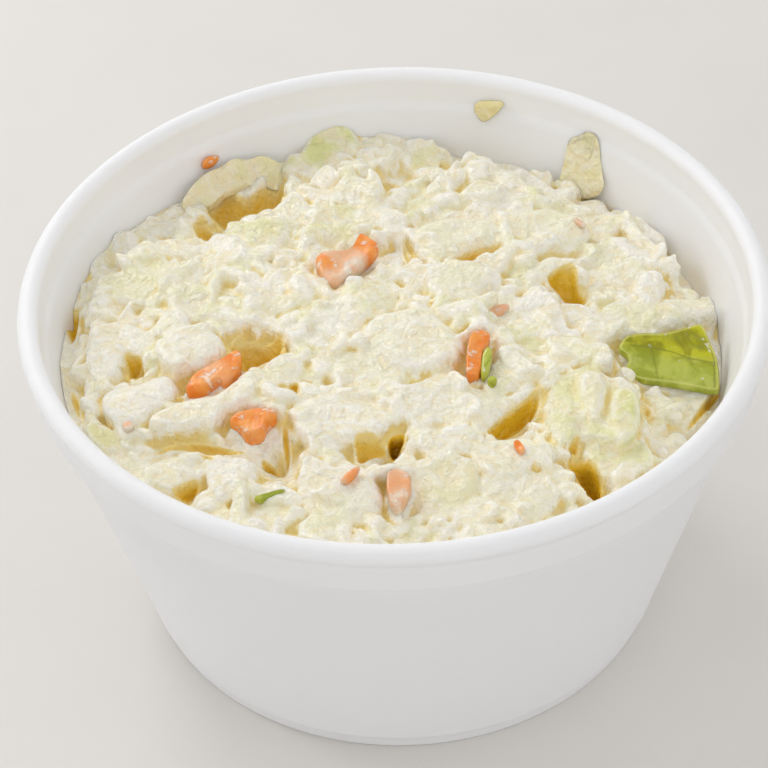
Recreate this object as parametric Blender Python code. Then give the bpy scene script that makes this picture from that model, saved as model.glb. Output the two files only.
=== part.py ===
"""Coleslaw in a squat white foam cup, as a Blender model.

Chopped cabbage in a thick dressing fills the cup as one heap, with a green leaf piece and
carrot pieces lying on it. The script works in millimetres and scales its meshes to metres.
The origin is the middle of the cup's foot, on the table, and +Z is up. The photograph's
camera stands on the -Y side.
"""

import math

import bmesh
import bpy
import numpy as np
from mathutils import Euler, Vector, noise

MM = 0.001

# Cup: outside
RIM_RADIUS = 45.0
CUP_HEIGHT = 46.3
BEAD_RADIUS = 1.25
BAND_RADIUS = 44.2
BAND_BOTTOM = 40.0
WALL_TOP_RADIUS = 43.0
WALL_TOP = 39.2
WALL_BOTTOM_RADIUS = 33.6
WALL_BOTTOM = 2.7
FOOT_RADIUS = 32.9
FOOT_WIDTH = 2.3
FOOT_RECESS = 1.2
CORNER = 0.3

# Cup: inside
LEDGE_RADIUS = 42.25
LEDGE_TOP = 43.3
LEDGE_BOTTOM = 42.2
INNER_TOP_RADIUS = 41.75
INNER_TOP = 41.4
INNER_BOTTOM_RADIUS = 31.9
INNER_BOTTOM = 4.9
FLOOR_FILLET = 1.5
CUP_SEGMENTS = 72
BEAD_STEPS = 7

# Heap: the bare core is a low dome whose edge dips on the right, with a hollow at each gap
GAP = 0.3
CORE_GAP = 0.45
CUTTER_GAP = 0.38
CORE_CENTRE_Z = 38.8
CORE_EDGE_Z = 36.0
EDGE_DIP = 2.0
EDGE_DIP_TOWARDS = math.radians(25)
CORE_RINGS = 11
CORE_SEGMENTS = 40
SWELL_HEIGHT = 0.9
SWELL_LENGTH = 11.0
HEAP_TOP = 41.95
HEAP_TRIANGLES = 9300
PLACING_RADIUS = 37.5
MAP_CELL = 1.25

# Hollows between the pieces: place in plan, half length, half width, heading in degrees, depth
HOLLOWS = [
    ((-18.3, 26.5), 5.6, 3.0, 10, 3.4),
    ((-16.4, -1.5), 4.6, 2.2, -5, 2.6),
    ((21.0, 5.8), 3.4, 1.9, -10, 2.8),
    ((20.7, -26.0), 3.4, 2.2, -20, 2.8),
    ((12.6, -17.4), 3.8, 1.6, 45, 2.2),
    ((-0.4, -21.0), 1.7, 1.4, 0, 3.0),
    ((-13.4, -20.8), 2.9, 1.2, 75, 2.4),
    ((-31.0, -5.4), 1.9, 1.6, 0, 2.4),
    ((34.6, -18.6), 3.2, 1.5, 60, 2.4),
]

# What the heap is made of, largest first: number, then length, width and thickness as ranges,
# and the most that a piece tilts, in degrees
PIECE_KINDS = {
    "chip": (84, (7.0, 11.0), (5.0, 7.6), (1.5, 2.1), 17),
    "rib": (42, (5.5, 8.5), (2.8, 4.2), (2.3, 3.1), 16),
    "shred": (30, (8.0, 12.5), (1.7, 2.5), (1.3, 1.7), 12),
}
CHIP_CORNERS = 6
TRIES_FOR_A_PLACE = 24
SINK_SHARE = 0.5

# How uneven a piece is: shares of its own length, width or thickness
BAR_TAPER = (0.75, 1.05)
BAR_END_TAPER = (0.55, 0.8)
BAR_SLANT = 0.08
BAR_BEND = (-0.04, 0.12)
BAR_CUPPING = (0.0, 0.16)
BAR_SWAY = 0.08
BAR_RISE = 0.22
BAR_EDGE_THINNING = 0.2
CHIP_SPREAD = 0.25
CHIP_REACH = (0.78, 1.1)
CHIP_CUPPING = (-0.05, 0.13)
CHIP_RISE = 0.35
CHIP_TOP_SCALE = 0.94
CHIP_EDGE_SHARE = 0.84
MEAN_SQUARE = 1 / 3
UPRIGHT = 0.2
BLOCKED = 4.0

# A cabbage tip that stands against the wall: foot in plan, lean and heading in degrees, size
TIP_PLACE = (23.4, 29.6, 37.9)
TIP_TURN = (62, 6, -38)
TIP_SIZE = (5.6, 8.8, 1.6)

# Pieces that lie on the heap: place in plan, heading in degrees, length, width, thickness
TOPPINGS = {
    "green_leaf": ((32.3, -5.4), 3, 11.6, 9.6, 0.9),
    "carrot_1": ((-5.7, 12.4), 30, 8.4, 4.3, 2.2),
    "carrot_2": ((-21.8, -7.4), 40, 8.8, 3.2, 2.3),
    "carrot_3": ((-16.9, -16.5), 12, 6.6, 4.2, 2.4),
    "carrot_4": ((-0.3, -28.2), 80, 4.8, 2.8, 2.0),
    "carrot_5": ((9.6, -5.8), 75, 4.6, 2.6, 2.0),
}
LEAF_TAPERS = (0.5, 0.76, 0.92, 1.04, 1.12)
LEAF_TILT = (14, 6)
CARROT_TILT = (5, -4)

# Colours: red, green, blue and roughness
FOAM = (0.90, 0.90, 0.91, 0.55)
SLAW = (0.80, 0.77, 0.58, 0.30)
CARROT = (0.85, 0.25, 0.05, 0.35)
LEAF = (0.45, 0.52, 0.06, 0.30)


def clear_scene():
    for old in list(bpy.data.objects):
        bpy.data.objects.remove(old, do_unlink=True)


def material(name, colour):
    made = bpy.data.materials.new(name)
    made.use_nodes = True
    shader = made.node_tree.nodes["Principled BSDF"]
    shader.inputs["Base Color"].default_value = (*colour[:3], 1.0)
    shader.inputs["Roughness"].default_value = colour[3]
    shader.inputs["Metallic"].default_value = 0.0
    return made


def make_object(name, bm, finish=None):
    """Closes the bmesh's normals, scales it to metres and links it as an object."""
    bmesh.ops.recalc_face_normals(bm, faces=bm.faces)
    bmesh.ops.scale(bm, vec=(MM, MM, MM), verts=bm.verts)
    mesh = bpy.data.meshes.new(name)
    bm.to_mesh(mesh)
    bm.free()
    if finish:
        mesh.materials.append(finish)
    made = bpy.data.objects.new(name, mesh)
    bpy.context.scene.collection.objects.link(made)
    return made


def spun(profile, segments):
    """A bmesh turned about Z from a profile of (radius, height) that starts and ends on the axis."""
    bm = bmesh.new()
    verts = [bm.verts.new((r, 0, z)) for r, z in profile]
    edges = [bm.edges.new(pair) for pair in zip(verts, verts[1:])]
    bmesh.ops.spin(
        bm,
        geom=verts + edges,
        cent=(0, 0, 0),
        axis=(0, 0, 1),
        angle=2 * math.pi,
        steps=segments,
        use_merge=True,
    )
    bmesh.ops.remove_doubles(bm, verts=bm.verts, dist=1e-4)
    return bm


def arc(centre, radius, start, end, steps):
    """Points of (radius, height) round a centre, between two angles in degrees."""
    angles = [math.radians(start + (end - start) * i / steps) for i in range(steps + 1)]
    return [(centre[0] + radius * math.cos(a), centre[1] + radius * math.sin(a)) for a in angles]


def inner_radius(z):
    """The cup's inside radius at a height on its straight wall."""
    share = (z - INNER_BOTTOM) / (INNER_TOP - INNER_BOTTOM)
    return INNER_BOTTOM_RADIUS + share * (INNER_TOP_RADIUS - INNER_BOTTOM_RADIUS)


def cup_profile():
    """The cup's section, from under its middle, up the outside and down to the inside floor."""
    foot_inner = FOOT_RADIUS - FOOT_WIDTH
    foot = [
        (0, FOOT_RECESS),
        (foot_inner - 2 * CORNER, FOOT_RECESS),
        (foot_inner, 0),
        (FOOT_RADIUS - CORNER, 0),
        (FOOT_RADIUS, CORNER),
        (FOOT_RADIUS, WALL_BOTTOM - 2 * CORNER),
    ]
    wall = [
        (WALL_BOTTOM_RADIUS - CORNER, WALL_BOTTOM - CORNER),
        (WALL_BOTTOM_RADIUS, WALL_BOTTOM),
        (WALL_TOP_RADIUS, WALL_TOP),
    ]
    bead_centre = (RIM_RADIUS - BEAD_RADIUS, CUP_HEIGHT - BEAD_RADIUS)
    band = [
        (BAND_RADIUS - CORNER, BAND_BOTTOM - CORNER),
        (BAND_RADIUS, BAND_BOTTOM),
        (BAND_RADIUS, CUP_HEIGHT - 2 * BEAD_RADIUS),
    ]
    bead = arc(bead_centre, BEAD_RADIUS, -45, 180, BEAD_STEPS)
    ledge = [
        (LEDGE_RADIUS + CORNER, LEDGE_TOP + CORNER),
        (LEDGE_RADIUS, LEDGE_TOP),
        (LEDGE_RADIUS, LEDGE_BOTTOM),
    ]
    fillet_centre = (INNER_BOTTOM_RADIUS - FLOOR_FILLET, INNER_BOTTOM)
    inside = [(INNER_TOP_RADIUS, INNER_TOP), *arc(fillet_centre, FLOOR_FILLET, 0, -90, 3)]
    return foot + wall + band + bead + ledge + inside + [(0, INNER_BOTTOM - FLOOR_FILLET)]


def hollow_at(x, y):
    """How deep the hollows are at a place in plan, and how far inside one it is, from 0 to 1."""
    depth, nearest = 0.0, 0.0
    for (cx, cy), half_length, half_width, heading, deepest in HOLLOWS:
        turn = math.radians(heading)
        along = (x - cx) * math.cos(turn) + (y - cy) * math.sin(turn)
        across = (y - cy) * math.cos(turn) - (x - cx) * math.sin(turn)
        reach = (along / half_length) ** 2 + (across / half_width) ** 2
        depth += deepest * math.exp(-reach)
        nearest = max(nearest, 1 - reach)
    return depth, nearest


def core_height(x, y):
    """The height of the bare core's top."""
    turn = math.atan2(y, x) - EDGE_DIP_TOWARDS
    edge = CORE_EDGE_Z - EDGE_DIP * math.cos(turn)
    share = min(1.0, math.hypot(x, y) / PLACING_RADIUS)
    swell = SWELL_HEIGHT * noise.noise(Vector((x / SWELL_LENGTH, y / SWELL_LENGTH, 7.3)))
    return edge + (CORE_CENTRE_Z - edge) * (1 - share**2) + swell - hollow_at(x, y)[0]


def core_bmesh():
    """The heap without its pieces: it fills the cup, a gap clear of it, up to the domed top."""
    floor = INNER_BOTTOM - FLOOR_FILLET + GAP
    corner = INNER_BOTTOM + GAP
    bm = bmesh.new()

    def ring(radius, z_of):
        turns = [2 * math.pi * i / CORE_SEGMENTS for i in range(CORE_SEGMENTS)]
        spots = [(radius * math.cos(a), radius * math.sin(a)) for a in turns]
        return [bm.verts.new((x, y, z_of(x, y))) for x, y in spots]

    corner_radius = inner_radius(corner) - CORE_GAP
    edge_radius = inner_radius(CORE_EDGE_Z - EDGE_DIP) - CORE_GAP
    rings = [ring(corner_radius - FLOOR_FILLET, lambda x, y: floor)]
    rings.append(ring(corner_radius, lambda x, y: corner))
    for i in range(CORE_RINGS):
        rings.append(ring(edge_radius * (1 - i / CORE_RINGS), core_height))
    for low, high in zip(rings, rings[1:]):
        for i in range(CORE_SEGMENTS):
            j = (i + 1) % CORE_SEGMENTS
            bm.faces.new((low[i], low[j], high[j], high[i]))
    bottom = bm.verts.new((0, 0, floor))
    top = bm.verts.new((0, 0, core_height(0, 0)))
    for i in range(CORE_SEGMENTS):
        j = (i + 1) % CORE_SEGMENTS
        bm.faces.new((rings[0][j], rings[0][i], bottom))
        bm.faces.new((rings[-1][i], rings[-1][j], top))
    bmesh.ops.triangulate(bm, faces=bm.faces)
    return bm


def slab(length, width, thickness, stations, across, rng, tapers=None):
    """A bar or leaf along X, bent, tapered and wavy, whose two faces are split alike."""
    plain = tapers is not None
    if not plain:
        tapers = rng.uniform(*BAR_TAPER, stations)
        tapers[[0, -1]] *= rng.uniform(*BAR_END_TAPER, 2)
    slants = rng.uniform(-BAR_SLANT, BAR_SLANT, (stations, 2)) * (0 if plain else length)
    bend = rng.uniform(*BAR_BEND) * length
    cup = rng.uniform(*BAR_CUPPING) * width
    sway = rng.uniform(-BAR_SWAY, BAR_SWAY) * length
    rise = rng.uniform(-BAR_RISE, BAR_RISE, (stations, across)) * thickness
    bm = bmesh.new()
    rings = []
    for i in range(stations):
        u = 2 * i / (stations - 1) - 1
        ring = []
        for side, order in ((1, range(across)), (-1, reversed(range(across)))):
            for k in order:
                v = 2 * k / (across - 1) - 1
                slant = slants[i][0 if v < 0 else 1] * abs(v)
                along = u * u - MEAN_SQUARE
                y = v * width / 2 * tapers[i] + sway * along
                z = bend * along + cup * (v * v - MEAN_SQUARE) + rise[i][k]
                half = thickness / 2 * (1 - BAR_EDGE_THINNING * v * v)
                ring.append(bm.verts.new((u * length / 2 + slant, y, z + side * half)))
        rings.append(ring)
    around = 2 * across
    for a, b in zip(rings, rings[1:]):
        for k in range(around):
            m = (k + 1) % around
            bm.faces.new((a[k], a[m], b[m], b[k]))
    for end in (rings[0], rings[-1]):
        for k in range(across - 1):
            bm.faces.new((end[k], end[k + 1], end[around - 2 - k], end[around - 1 - k]))
    return closed(bm)


def chip(length, width, thickness, rng):
    """A chopped square of cabbage: an uneven outline with a few corners, slightly cupped."""
    spread = rng.uniform(-CHIP_SPREAD, CHIP_SPREAD, CHIP_CORNERS)
    turns = (np.arange(CHIP_CORNERS) + spread) * 2 * math.pi / CHIP_CORNERS
    reach = rng.uniform(*CHIP_REACH, CHIP_CORNERS)
    cup = rng.uniform(*CHIP_CUPPING) * width
    rise = rng.uniform(-CHIP_RISE, CHIP_RISE, CHIP_CORNERS) * thickness
    bm = bmesh.new()
    rings = []
    for side, scale in ((1, CHIP_TOP_SCALE), (-1, 1.0)):
        half = side * thickness / 2
        ring = []
        for turn, r, lift in zip(turns, reach, rise):
            x = scale * r * math.cos(turn) * length / 2
            y = scale * r * math.sin(turn) * width / 2
            ring.append(bm.verts.new((x, y, cup + lift + half * CHIP_EDGE_SHARE)))
        middle = bm.verts.new((0, 0, half - cup))
        rings.append((ring, middle))
    (top, top_middle), (under, under_middle) = rings
    for i in range(CHIP_CORNERS):
        j = (i + 1) % CHIP_CORNERS
        bm.faces.new((top[i], top[j], top_middle))
        bm.faces.new((under[j], under[i], under_middle))
        bm.faces.new((top[i], under[i], under[j], top[j]))
    return closed(bm)


def closed(bm):
    bmesh.ops.triangulate(bm, faces=bm.faces)
    bmesh.ops.recalc_face_normals(bm, faces=bm.faces)
    return bm


def grown(bm, by):
    """A copy that stands proud of the piece all round."""
    copy = bm.copy()
    copy.normal_update()
    for vert in copy.verts:
        vert.co += vert.normal * by
    return copy


def points_facing(bm, side):
    """Points spread over the faces that look up (1) or down (-1)."""
    bm.normal_update()
    spots = []
    for face in bm.faces:
        if face.normal.z * side > UPRIGHT:
            middle = face.calc_center_median()
            corners = [v.co for v in face.verts]
            spots.append(middle)
            spots.extend(middle.lerp(c, 0.5) for c in corners)
            spots.extend(middle.lerp(c, 0.95) for c in corners)
    return spots


class HeapMap:
    """The heap so far, on a square grid over the cup's mouth: its height, and what is taken."""

    def __init__(self):
        self.count = int(2 * RIM_RADIUS / MAP_CELL)
        middles = [(k + 0.5) * MAP_CELL - RIM_RADIUS for k in range(self.count)]
        self.z = np.array([[core_height(x, y) for y in middles] for x in middles])
        free = np.array([[hollow_at(x, y)[1] <= 0 for y in middles] for x in middles])
        self.taken = np.where(free, 0.0, BLOCKED)

    def cells(self, spots):
        at = (np.array([s[:2] for s in spots]) + RIM_RADIUS) / MAP_CELL
        at = np.clip(at.astype(int), 0, self.count - 1)
        return at[:, 0], at[:, 1]

    def crowding(self, spots):
        """How much of the ground under the points is taken already."""
        return float(self.taken[self.cells(spots)].mean())

    def lift(self, spots, share):
        """How far the points move up for that share of them to clear the heap."""
        return float(np.quantile(self.z[self.cells(spots)] - [s.z for s in spots], share))

    def cover(self, spots):
        at = self.cells(spots)
        np.maximum.at(self.z, at, [s.z for s in spots])
        self.taken[at] = np.maximum(self.taken[at], 1.0)


def settle(bm, heap, share, clearance=0.0):
    """Sets a piece down on the heap so far, under the heap's highest level."""
    lift = heap.lift(points_facing(bm, -1), share) + clearance
    lift = min(lift, HEAP_TOP - max(v.co.z for v in bm.verts))
    bmesh.ops.translate(bm, vec=(0, 0, lift), verts=bm.verts)


def turn(bm, degrees):
    spin = Euler([math.radians(d) for d in degrees]).to_matrix()
    bmesh.ops.rotate(bm, cent=(0, 0, 0), matrix=spin, verts=bm.verts)


def toppings(heap):
    """The leaf and the carrot pieces, laid on the bare core, which they then keep free."""
    rng = np.random.default_rng(5)
    laid = {}
    for name, ((x, y), heading, length, width, thickness) in TOPPINGS.items():
        if name == "green_leaf":
            bm = slab(length, width, thickness, 5, 4, rng, LEAF_TAPERS)
            turn(bm, (*LEAF_TILT, heading))
        else:
            bm = slab(length, width, thickness, 4, 3, rng)
            turn(bm, (*CARROT_TILT, heading))
        bmesh.ops.translate(bm, vec=(x, y, 0), verts=bm.verts)
        settle(bm, heap, 1.0, GAP)
        heap.taken[heap.cells(points_facing(bm, 1))] = BLOCKED
        laid[name] = bm
    return laid


def heap_pieces(heap):
    """The chopped pieces that show, the largest kind first, each in the freest place found."""
    rng = np.random.default_rng(11)
    for kind, (count, lengths, widths, thicknesses, tilt) in PIECE_KINDS.items():
        for i in range(count):
            size = [rng.uniform(*span) for span in (lengths, widths, thicknesses)]
            if kind == "chip":
                bm = chip(*size, rng)
            else:
                bm = slab(*size, 4 if kind == "shred" else 3, 2, rng)
            turn(bm, (*rng.uniform(-tilt, tilt, 2), rng.uniform(0, 360)))
            under = points_facing(bm, -1)
            reach = PLACING_RADIUS * np.sqrt(rng.uniform(0, 1, TRIES_FOR_A_PLACE))
            turns = rng.uniform(0, 2 * math.pi, TRIES_FOR_A_PLACE)
            places = [Vector((r * math.cos(a), r * math.sin(a), 0)) for r, a in zip(reach, turns)]
            place = min(places, key=lambda p: heap.crowding([s + p for s in under]))
            bmesh.ops.translate(bm, vec=place, verts=bm.verts)
            settle(bm, heap, SINK_SHARE)
            heap.cover(points_facing(bm, 1))
            yield f"{kind}_{i}", bm
    tip = chip(*TIP_SIZE, rng)
    turn(tip, TIP_TURN)
    bmesh.ops.translate(tip, vec=TIP_PLACE, verts=tip.verts)
    yield "standing_tip", tip


def apply_modifiers(target):
    graph = bpy.context.evaluated_depsgraph_get()
    mesh = bpy.data.meshes.new_from_object(target.evaluated_get(graph))
    target.modifiers.clear()
    target.data = mesh


def boolean(target, operation, operand):
    """Applies a Boolean with an object, or with a collection of objects."""
    step = target.modifiers.new("join", "BOOLEAN")
    step.operation = operation
    if isinstance(operand, bpy.types.Collection):
        step.operand_type = "COLLECTION"
        step.collection = operand
    else:
        step.object = operand
    apply_modifiers(target)


def thin_out(target, triangles):
    """Drops the slivers that Booleans leave, by collapsing the shortest edges."""
    target.data.calc_loop_triangles()
    step = target.modifiers.new("thin_out", "DECIMATE")
    step.ratio = triangles / len(target.data.loop_triangles)
    step.use_collapse_triangulate = True
    apply_modifiers(target)


def keep_largest(target):
    """Drops the loose scraps that cutting leaves beside the main body."""
    bm = bmesh.new()
    bm.from_mesh(target.data)
    unseen, bodies = set(bm.verts), []
    while unseen:
        front, body = [unseen.pop()], []
        while front:
            vert = front.pop()
            body.append(vert)
            for edge in vert.link_edges:
                other = edge.other_vert(vert)
                if other in unseen:
                    unseen.remove(other)
                    front.append(other)
        bodies.append(body)
    bodies.sort(key=len)
    scraps = [v for body in bodies[:-1] for v in body]
    bmesh.ops.delete(bm, geom=scraps, context="VERTS")
    bm.to_mesh(target.data)
    bm.free()


def inside_bmesh():
    """The room inside the cup, a gap clear of its wall, that the heap is trimmed to."""
    low = INNER_BOTTOM - FLOOR_FILLET
    top = INNER_TOP - 0.2
    profile = [
        (0, low),
        (INNER_BOTTOM_RADIUS - FLOOR_FILLET - GAP, low),
        (INNER_BOTTOM_RADIUS - GAP, INNER_BOTTOM),
        (inner_radius(top) - GAP, top),
        (inner_radius(top) - GAP, CUP_HEIGHT),
        (0, CUP_HEIGHT),
    ]
    return spun(profile, CUP_SEGMENTS)


def build_heap(finish, heap, laid):
    """The core and its pieces in one solid, trimmed to the cup and cut clear of the toppings."""
    body = make_object("slaw", core_bmesh(), finish)
    pieces = bpy.data.collections.new("heap_pieces")
    bpy.context.scene.collection.children.link(pieces)
    for name, bm in heap_pieces(heap):
        made = make_object(name, bm)
        bpy.context.scene.collection.objects.unlink(made)
        pieces.objects.link(made)
    boolean(body, "UNION", pieces)
    for used in list(pieces.objects):
        bpy.data.objects.remove(used, do_unlink=True)
    bpy.data.collections.remove(pieces)
    room = make_object("room", inside_bmesh())
    boolean(body, "INTERSECT", room)
    bpy.data.objects.remove(room, do_unlink=True)
    for bm in laid.values():
        cutter = make_object("cutter", grown(bm, CUTTER_GAP))
        boolean(body, "DIFFERENCE", cutter)
        bpy.data.objects.remove(cutter, do_unlink=True)
    keep_largest(body)
    thin_out(body, HEAP_TRIANGLES)


def main():
    clear_scene()
    cup = make_object("cup", spun(cup_profile(), CUP_SEGMENTS), material("foam", FOAM))
    cup.data.shade_smooth()
    cup.data.set_sharp_from_angle(angle=math.radians(40))

    heap = HeapMap()
    laid = toppings(heap)
    build_heap(material("slaw", SLAW), heap, laid)
    leaf, carrot = material("leaf", LEAF), material("carrot", CARROT)
    for name, bm in laid.items():
        make_object(name, bm, leaf if name == "green_leaf" else carrot)


main()
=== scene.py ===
"""The looks of the coleslaw in its foam cup: camera, light, foam, dressed cabbage, leaf and carrots.

Sizes and places are in millimetres in the part's own frame, and the meshes are scaled to metres.
"""

import math

import bpy
import numpy as np
from mathutils import Matrix, Vector, noise


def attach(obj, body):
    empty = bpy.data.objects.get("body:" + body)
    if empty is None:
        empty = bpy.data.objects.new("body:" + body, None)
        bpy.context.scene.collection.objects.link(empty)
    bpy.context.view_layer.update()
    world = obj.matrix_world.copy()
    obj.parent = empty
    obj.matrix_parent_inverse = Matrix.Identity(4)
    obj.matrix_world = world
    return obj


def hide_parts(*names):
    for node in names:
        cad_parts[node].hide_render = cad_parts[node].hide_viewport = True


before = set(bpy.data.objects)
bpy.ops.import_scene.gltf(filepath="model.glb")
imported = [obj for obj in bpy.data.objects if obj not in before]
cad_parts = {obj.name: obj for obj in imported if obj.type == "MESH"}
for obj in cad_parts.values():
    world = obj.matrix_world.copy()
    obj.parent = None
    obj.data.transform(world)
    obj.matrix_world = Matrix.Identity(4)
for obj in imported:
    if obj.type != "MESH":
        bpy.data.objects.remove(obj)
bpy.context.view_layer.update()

MM = 0.001

# Camera, fitted to the photograph's rim, band, wall and foot
CAMERA_PLACE = (0.0, -228.08, 238.28)
CAMERA_FORWARD = (-0.00536, 0.7383, -0.67445)
CAMERA_UP = (0.03317, 0.67422, 0.73778)
CAMERA_LENS = 117.19
CAMERA_SENSOR = 36.0

# Cup, as in the model
RIM_RADIUS = 44.95
CUP_HEIGHT = 46.28
BEAD_RADIUS = 1.25
BAND_RADIUS = 44.2
BAND_BOTTOM = 40.0
WALL_TOP_RADIUS = 43.0
WALL_TOP = 39.2
WALL_BOTTOM_RADIUS = 33.6
WALL_BOTTOM = 2.7
FOOT_RADIUS = 32.9
FOOT_WIDTH = 2.3
FOOT_RECESS = 1.2
LEDGE_RADIUS = 42.25
LEDGE_TOP = 43.3
LEDGE_BOTTOM = 42.2
INNER_TOP_RADIUS = 41.75
INNER_TOP = 41.4
INNER_BOTTOM_RADIUS = 31.9
INNER_BOTTOM = 4.9
FLOOR_FILLET = 1.5
CUP_SEGMENTS = 200
MOULDED_RINGS = 34
RING_STEP = 0.45
RING_DEPTH = 0.045

# Heap, as in the model: a low dome whose edge dips on the right
CORE_CENTRE_Z = 38.8
CORE_EDGE_Z = 36.0
EDGE_DIP = 2.0
EDGE_DIP_TOWARDS = math.radians(25)
SWELL_HEIGHT = 0.9
SWELL_LENGTH = 11.0
HEAP_TOP = 41.95
PLACING_RADIUS = 39.0
WALL_CLEARANCE = 0.06

# Hollows between the pieces: place in plan, half length, half width, heading in degrees, depth
HOLLOWS = [
    ((-18.3, 26.5), 5.6, 3.0, 10, 3.4),
    ((-16.4, -1.5), 4.6, 2.2, -5, 2.6),
    ((21.0, 5.8), 3.4, 1.9, -10, 2.8),
    ((20.7, -26.0), 3.4, 2.2, -20, 2.8),
    ((12.6, -17.4), 3.8, 1.6, 45, 2.2),
    ((-0.4, -21.0), 1.7, 1.4, 0, 3.0),
    ((-13.4, -20.8), 2.9, 1.2, 75, 2.4),
    ((-31.0, -5.4), 1.9, 1.6, 0, 2.4),
    ((34.6, -18.6), 3.2, 1.5, 60, 2.4),
]

PHOTO_WIDTH = 768

# Gaps between the pieces: outline in the photograph's pixels, depth, and strength of their painted golden
# shade
GAPS = {
    "behind_the_arch": (
        [(204, 209), (214, 196), (226, 189), (238, 192), (251, 193), (268, 182), (283, 172), (286, 190),
         (284, 210), (270, 213), (257, 217), (244, 222), (232, 227), (219, 217)], 2.5, 0.55),
    "left_of_the_arch": (
        [(194, 226), (200, 219), (209, 216), (214, 226), (223, 238), (210, 245), (198, 238)], 1.9, 0.55),
    "back_middle": ([(369, 178), (383, 173), (402, 175), (399, 184), (385, 195), (371, 190)], 1.4, 0.4),
    "back_right": ([(436, 160), (448, 156), (456, 166), (450, 180), (440, 174)], 0.8, 0.3),
    "beside_the_lump": ([(400, 243), (405, 244), (412, 257), (420, 263), (414, 267), (405, 259)], 1.3, 0.4),
    "below_the_lump": (
        [(444, 264), (450, 257), (466, 250), (484, 243), (499, 240), (496, 252), (466, 265), (450, 271)],
        1.9, 0.55),
    "by_the_tip": ([(603, 193), (611, 191), (617, 210), (608, 214), (604, 205)], 1.5, 0.5),
    "right_spot": (
        [(541, 284), (553, 276), (565, 270), (572, 271), (576, 283), (588, 290), (585, 297), (563, 289)],
        2.1, 0.7),
    "right_back_wall": ([(676, 268), (688, 270), (691, 282), (688, 296), (678, 292), (675, 280)], 1.4, 0.5),
    "left_wall_back": ([(82, 268), (90, 266), (92, 276), (84, 279)], 1.0, 0.45),
    "left_wall": ([(65, 309), (86, 308), (80, 330), (74, 347), (68, 330)], 1.9, 0.65),
    "left_wall_front": ([(71, 385), (78, 390), (83, 405), (86, 421), (80, 416), (73, 400)], 1.6, 0.6),
    "left_spot": ([(130, 350), (151, 358), (140, 367), (130, 375)], 2.1, 0.6),
    "by_the_carrot": (
        [(229, 345), (234, 328), (259, 332), (285, 335), (286, 345), (268, 361), (250, 373), (241, 368),
         (242, 348)], 2.3, 0.55),
    "olive_spot": ([(289, 382), (302, 376), (301, 388), (292, 391)], 1.7, 0.7),
    "small_upright": ([(283, 424), (291, 422), (291, 450), (289, 464), (284, 455)], 2.0, 0.65),
    "small_upright_foot": ([(262, 459), (272, 461), (284, 466), (275, 470), (264, 472)], 1.9, 0.6),
    "valley": (
        [(146, 451), (176, 438), (209, 440), (256, 446), (240, 449), (212, 455), (180, 444)], 1.0, 0.5),
    "front_left_wall": ([(173, 488), (190, 481), (203, 476), (206, 479), (196, 493), (184, 492)], 1.9, 0.6),
    "dark_hole": ([(386, 436), (397, 429), (405, 430), (406, 438), (396, 449), (388, 445)], 2.8, 1.0),
    "beside_the_dark_hole": (
        [(353, 438), (370, 436), (386, 440), (388, 446), (372, 450), (358, 461)], 1.7, 0.55),
    "under_the_shred": (
        [(480, 433), (502, 414), (522, 399), (533, 385), (540, 392), (536, 406), (528, 414), (502, 430)],
        2.3, 0.7),
    "front_right": (
        [(561, 464), (574, 458), (591, 465), (604, 482), (606, 491), (598, 491), (583, 479)], 2.7, 0.85),
    "wedge": ([(564, 444), (577, 433), (578, 449), (566, 448)], 1.5, 0.55),
    "below_the_leaf": ([(641, 400), (647, 403), (652, 405), (651, 415), (645, 417)], 1.9, 0.5),
    "right_wall": ([(733, 374), (738, 380), (722, 402), (692, 437), (687, 436), (706, 408)], 1.7, 0.6),
}
LIP_RISE = 1.0
GAP_EDGE = 0.7
GAP_BACK_SHARE = 0.5
# Painted golden shade in the gaps: how soft its edge, how strong at a gap's back, and how soon it is full
# towards the front
GOLD_EDGE = 0.35
GOLD_AT_BACK = 0.4
GOLD_REACH = 1.5
# Painted golden shade in creases where the dressing lies below its pieces
CREASE_SHADE_GOLD = 0.28

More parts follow.
